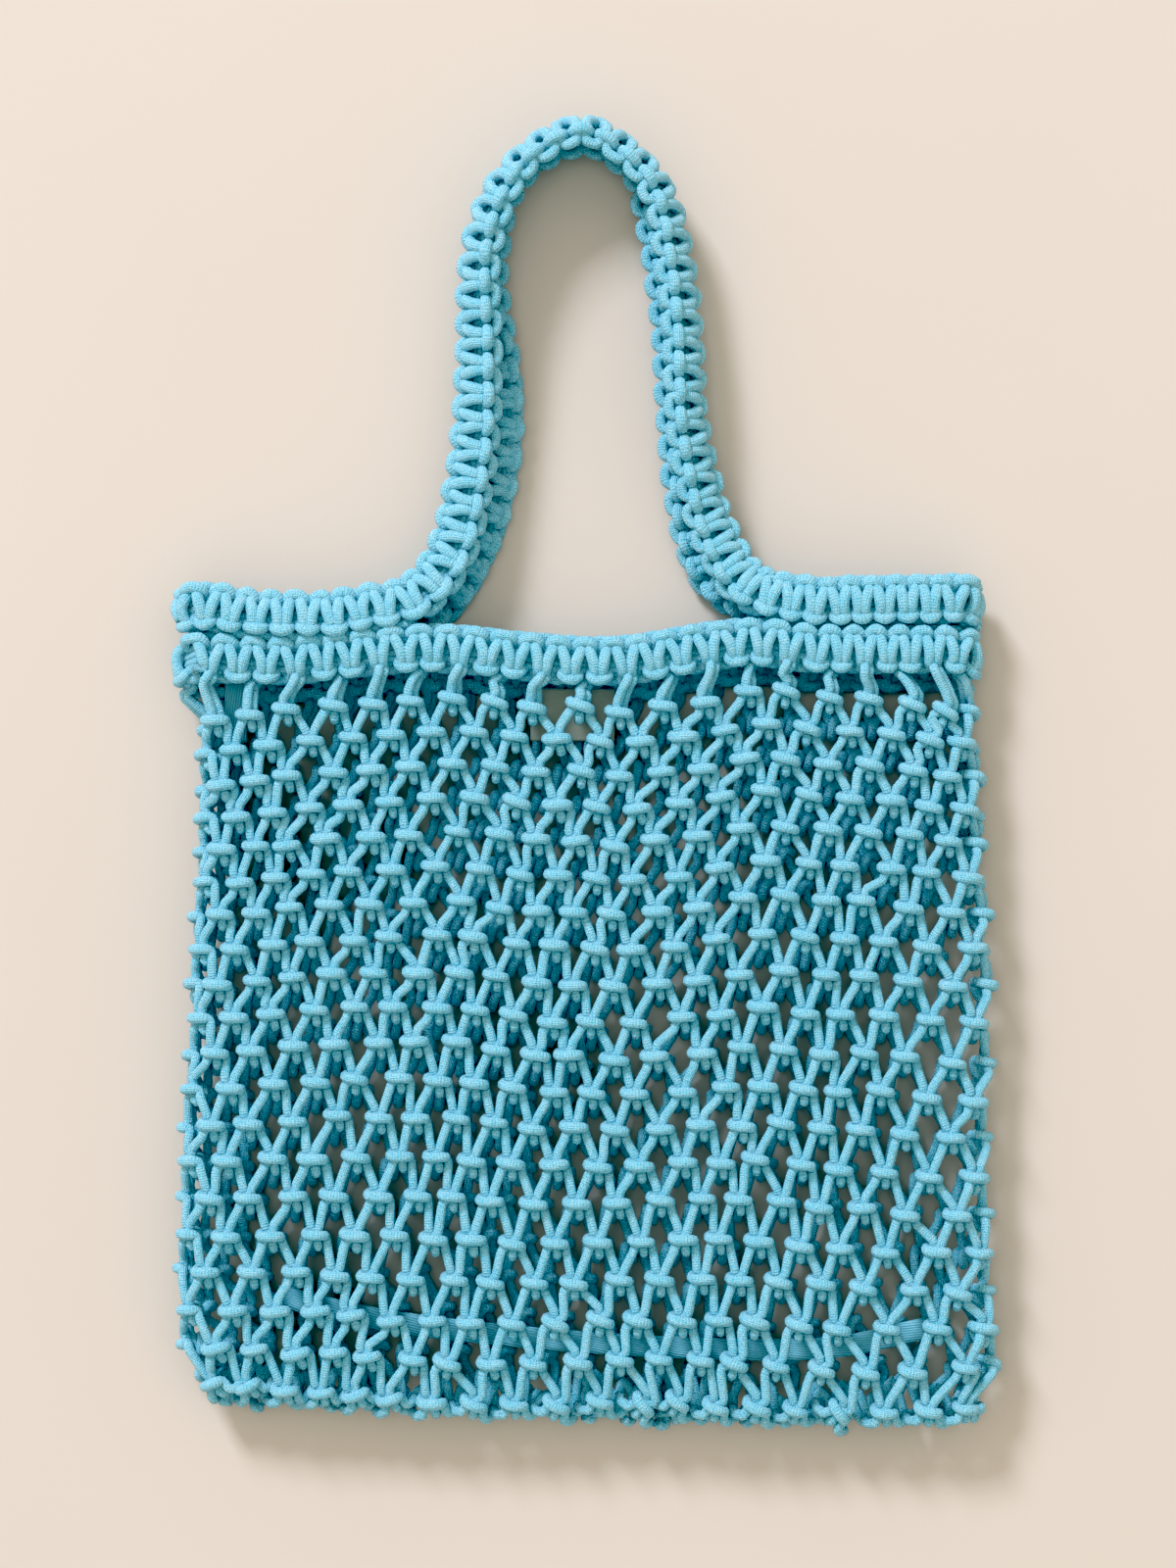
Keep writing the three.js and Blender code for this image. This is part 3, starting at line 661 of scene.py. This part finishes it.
def strip_piece(name, line, width, thick):
    """A tape or label: a thin strip along a line of points, with rounded edges and its faces up and
    down. The UV is the real length around and along."""
    ahead = unit(np.gradient(line, axis=0))
    across = unit(np.cross(UP, ahead))
    face = np.cross(ahead, across)
    profile_x = np.array([-1, -0.97, -0.5, 0, 0.5, 0.97, 1, 0.97, 0.5, 0, -0.5, -0.97]) * width / 2
    profile_z = np.array([0, 1, 1, 1, 1, 1, 0, -1, -1, -1, -1, -1]) * thick / 2
    points = (line[:, None] + across[:, None] * profile_x[None, :, None]
              + face[:, None] * profile_z[None, :, None])
    steps = np.hypot(np.diff(profile_x, prepend=profile_x[0]), np.diff(profile_z, prepend=profile_z[0]))
    around = np.append(np.cumsum(steps), 2 * width)
    length = np.concatenate([[0], np.cumsum(np.linalg.norm(np.diff(line, axis=0), axis=1))])
    uv = np.stack(np.broadcast_arrays(around[None] * MM, length[:, None] * MM), axis=-1)
    return grid_mesh(name, points[None], uv[None], wrap_around=True, capped=True)


def hanging(low, high, reach, wave):
    """The middle line of a strip that hangs down through a box, from its upper end to its lower
    one. It goes up and down by a sine of this reach, and wave is the length in which the sine's
    angle grows by one."""
    y = np.linspace(high[1], low[1], STRIP_POINTS)
    x = (low[0] + high[0]) / 2
    z = (low[2] + high[2]) / 2 + reach * np.sin((y - low[1]) / wave)
    return np.column_stack([0 * y + x, y, z])


# Sizes on the surface in metres, and the two colours that each finish goes between
STITCHES_ROUND = 8  # in one turn round the cord
STITCH_LENGTH = 0.0022
# The cord's lighter colour is whitish: partly the fuzz's own paler tone, partly painted highlights of
# the lit fuzz.
CORD_TONE_AND_GLINT_COLOURS = (0.0, 0.56, 0.84, 1), (0.52, 0.87, 1.0, 1)
RIB_WIDTH = 0.0011
RIB_SLANT = 0.12  # way across for each length along
TAPE_COLOURS = (0.13, 0.38, 0.50, 1), (0.34, 0.62, 0.74, 1)
WEAVE_ACROSS = 0.0006
WEAVE_ALONG = 0.0009
LABEL_COLOURS = (0.30, 0.30, 0.25, 1), (0.42, 0.41, 0.34, 1)
FLOOR_COLOURS = (0.580, 0.508, 0.450, 1), (0.600, 0.524, 0.463, 1)


class Socket:
    """A shader output that takes part in sums: each operator adds a Math node."""

    def __init__(self, finish, output):
        self.finish = finish
        self.output = output

    def math(self, operation, *others):
        """A Math node on this output and others."""
        inputs = dict(enumerate((self, *others)))
        return self.finish.node("ShaderNodeMath", {"operation": operation}, inputs)

    def __add__(self, other):
        return self.math("ADD", other)

    def __sub__(self, other):
        return self.math("SUBTRACT", other)

    def __mul__(self, other):
        return self.math("MULTIPLY", other)

    def sin(self):
        return self.math("SINE")

    def clamped(self):
        """Kept from 0 to 1."""
        return self.math("MAXIMUM", 0.0).math("MINIMUM", 1.0)

    __radd__ = __add__


class Finish:
    """A material and its nodes."""

    def __init__(self, name, **constants):
        self.material = bpy.data.materials.new(name)
        self.material.use_nodes = True
        self.tree = self.material.node_tree
        self.shader = self.tree.nodes["Principled BSDF"]
        for socket, value in constants.items():
            self.shader.inputs[socket.replace("_", " ")].default_value = value

    def node(self, kind, settings=None, inputs=None, output=0):
        """A node of this kind with its settings, then its sockets' values or links. Gives one of
        its outputs."""
        made = self.tree.nodes.new(kind)
        for key, value in (settings or {}).items():
            setattr(made, key, value)
        for key, value in (inputs or {}).items():
            if isinstance(value, Socket):
                self.tree.links.new(value.output, made.inputs[key])
            else:
                made.inputs[key].default_value = value
        return Socket(self, made.outputs[output])

    def uv(self):
        """Across and along a piece's own surface."""
        place = self.node("ShaderNodeUVMap", {"uv_map": "surface"})
        return [self.node("ShaderNodeSeparateXYZ", None, {0: place}, k) for k in range(2)]

    def noise(self, scale, detail, roughness=0.5):
        """Noise on the piece's own coordinates, from 0 to 1."""
        place = self.node("ShaderNodeTexCoord", None, None, "Object")
        inputs = {"Vector": place, "Scale": scale, "Detail": detail, "Roughness": roughness}
        return self.node("ShaderNodeTexNoise", None, inputs)

    def mix(self, share, a, b):
        """Colour a, going over to b as share goes from 0 to 1."""
        return self.node("ShaderNodeMix", {"data_type": "RGBA"}, {0: share, 6: a, 7: b}, 2)

    def set(self, socket, value):
        """Links a value to one of the shader's sockets."""
        self.tree.links.new(value.output, self.shader.inputs[socket])

    def bump(self, height, depth, strength):
        """Relief of this height on the surface, with its depth in metres."""
        inputs = {"Height": height, "Distance": depth, "Strength": strength}
        self.set("Normal", self.node("ShaderNodeBump", None, inputs))


def cord_finish():
    """Soft knitted cotton cord: slanting rows of tiny stitches both ways round it, a fine fuzz, and
    a colour that varies a little from place to place. Where the fuzz noise is high the colour goes over
    to a whitish light blue: partly the fibres' own paler tone, partly painted highlights standing for
    light glinting off the fuzz. The stitches are the product of two sines that wind round it in
    opposite ways."""
    finish = Finish("blue_cotton_cord", Roughness=0.5, IOR=1.7, Sheen_Weight=0.2,
                    Sheen_Roughness=0.6, Specular_IOR_Level=1.0)
    around, along = finish.uv()
    turns = around * (2 * np.pi * STITCHES_ROUND)
    rows = along * (2 * np.pi / STITCH_LENGTH)
    stitch = (turns + rows).sin() * (turns - rows).sin()
    fuzz = finish.noise(scale=1300, detail=3.0, roughness=0.75)
    patch = finish.noise(scale=120, detail=2.0)
    # The fuzz noise mixes in specks of the lighter colour: partly paler fibres, partly painted glints
    # of light.
    share = (0.5 + stitch * 0.25 + (fuzz - 0.5) * 2.4 + (patch - 0.5) * 0.4).clamped()
    finish.set("Base Color", finish.mix(share, *CORD_TONE_AND_GLINT_COLOURS))
    finish.bump(stitch * 0.3 + fuzz * 1.4, depth=0.0011, strength=1.0)
    return finish.material


def tape_finish():
    """Cotton twill tape: fine ribs along it, slanting a little, as a sine across it."""
    finish = Finish("blue_twill_tape", Roughness=0.9, Sheen_Weight=0.2, Specular_IOR_Level=0.2)
    across, along = finish.uv()
    ribs = ((across + along * RIB_SLANT) * (2 * np.pi / RIB_WIDTH)).sin()
    fuzz = finish.noise(scale=1400, detail=2.0)
    share = (0.5 + ribs * 0.3 + (fuzz - 0.5) * 0.7).clamped()
    finish.set("Base Color", finish.mix(share, *TAPE_COLOURS))
    finish.bump(ribs * 0.5 + fuzz * 0.3, depth=0.0004, strength=0.6)
    return finish.material


def label_finish():
    """Woven satin ribbon, undyed: a weave of sines across and along it."""
    finish = Finish("satin_label", Roughness=0.45, Sheen_Weight=0.15)
    across, along = finish.uv()
    weave = (across * (2 * np.pi / WEAVE_ACROSS)).sin() * (along * (2 * np.pi / WEAVE_ALONG)).sin()
    patch = finish.noise(scale=160, detail=2.0)
    share = (0.5 + weave * 0.2 + (patch - 0.5) * 0.6).clamped()
    finish.set("Base Color", finish.mix(share, *LABEL_COLOURS))
    finish.bump(weave * 0.5 + patch * 0.5, depth=0.0002, strength=0.4)
    return finish.material


def finished(piece, node, material):
    """A piece stands in for its solid, which is hidden, rides on the bag and takes its material."""
    piece.data.materials.append(material)
    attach(piece, "root")
    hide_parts(node)


# The bands and the net
cord_material = cord_finish()
mouth = Band(mouth_band_line(), upright=True, closed=True)
mouth_pieces = band_cords("mouth_band", mouth, MOUTH_KNOTS, KNOT_PLACES, MOUTH_WIDTH,
                          MOUTH_FULLNESS, hooks=range(0, MOUTH_KNOTS, HOOK_KNOTS))
for piece in mouth_pieces:
    finished(piece, "mouth_band", cord_material)
for node, loop, front in (("handle_front", FRONT_LOOP, 1), ("handle_back", BACK_LOOP, 0)):
    band = Band(handle_line(loop, front), upright=False)
    places, count = handle_knots(band.length, 0 if front else BACK_LEAD)
    knots = count + 1 if front else count
    for piece in band_cords(node, band, knots, places, HANDLE_WIDTH, HANDLE_FULLNESS):
        finished(piece, node, cord_material)

cords = net_cords(mouth)
finished(cord_piece("net_carrier_cords", cords["carrier"]), "net_bag", cord_material)
finished(cord_piece("net_tied_ends", tied_ends()), "net_bag", cord_material)
for group, courses in enumerate(np.split(cords["tying"], TYING_PIECES)):
    finished(cord_piece(f"net_tying_cords_{group + 1}", courses), "net_bag", cord_material)

# Tapes and label
tape_material = tape_finish()
seam = through(np.column_stack([SEAM_TAPE, np.full(len(SEAM_TAPE), SEAM_HEIGHT)]), steps=16)
seam[:, 2] += SEAM_WAVE * np.sin(np.linspace(0, SEAM_WAVES, len(seam)))
seam_tape = strip_piece("seam_tape_strip", seam, TAPE_WIDTH, TAPE_THICK)
finished(seam_tape, "seam_tape", tape_material)

low, high = (np.array(corner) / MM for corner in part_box("side_tape"))
side = hanging(low, high, reach=1.5, wave=8)
side_tape = strip_piece("side_tape_strip", side, TAPE_WIDTH, TAPE_THICK)
finished(side_tape, "side_tape", tape_material)

low, high = (np.array(corner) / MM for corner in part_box("label"))
middle = hanging(low, high, reach=1.2, wave=7)
label = strip_piece("label_ribbon", middle, LABEL_WIDTH, LABEL_THICK)
finished(label, "label", label_finish())

# Floor, light and camera
FLOOR_HALF = 3.0
CAMERA_HEIGHT = 1.8
VIEW_LENGTH = 0.72  # what the picture's height takes in at the bag's middle height
VIEW_CENTRE_Y = -0.004
BLACK_LEVEL = (0.085, 0.05, 0.045)  # what the picture shows as black
ROOM_COLOUR = (1.0, 0.912, 0.80, 1)
ROOM_STRENGTH = 0.92


def floor_finish():
    """Smooth pale plaster with a faint cloudiness."""
    finish = Finish("pale_floor", Roughness=0.85, Specular_IOR_Level=0.2)
    cloud = finish.noise(scale=6, detail=3.0)
    finish.set("Base Color", finish.mix(cloud, *FLOOR_COLOURS))
    return finish.material


corner = np.array([-FLOOR_HALF, FLOOR_HALF]) / MM
floor_points = np.stack(np.broadcast_arrays(corner[None, :], corner[:, None], 0.0), axis=-1)
floor = grid_mesh("floor", floor_points[None], floor_points[None, ..., :2] * MM, wrap_around=False)
floor.data.materials.append(floor_finish())


def soft_light(name, place, size, power, colour):
    """A square lamp at a place, facing the bag."""
    lamp = bpy.data.lights.new(name, "AREA")
    lamp.size = size
    lamp.energy = power
    lamp.color = colour
    holder = bpy.data.objects.new(name, lamp)
    holder.location = place
    holder.rotation_mode = "QUATERNION"
    holder.rotation_quaternion = (-holder.location).to_track_quat("-Z", "Y")
    bpy.context.collection.objects.link(holder)


soft_light("window_light", place=(-3.73, 6.46, 5.03), size=2.0, power=920, colour=(0.80, 0.86, 1.0))
soft_light("ceiling_light", place=(-0.4, 0.4, 5.0), size=1.9, power=38, colour=(1.0, 0.94, 0.84))
world = bpy.data.worlds.new("soft_room")
world.use_nodes = True
background = world.node_tree.nodes["Background"].inputs
background["Color"].default_value = ROOM_COLOUR
background["Strength"].default_value = ROOM_STRENGTH
bpy.context.scene.world = world
tone = bpy.context.scene.view_settings
tone.view_transform = "Standard"
tone.use_curve_mapping = True
tone.curve_mapping.black_level = BLACK_LEVEL
tone.curve_mapping.white_level = [1 + level for level in BLACK_LEVEL]
tone.curve_mapping.update()

camera = bpy.data.objects.new("camera", bpy.data.cameras.new("camera"))
camera.location = (0, VIEW_CENTRE_Y, CAMERA_HEIGHT + MIDDLE_Z * MM)
camera.data.sensor_width = 36
camera.data.lens = camera.data.sensor_width * CAMERA_HEIGHT / VIEW_LENGTH
bpy.context.collection.objects.link(camera)
bpy.context.scene.camera = camera
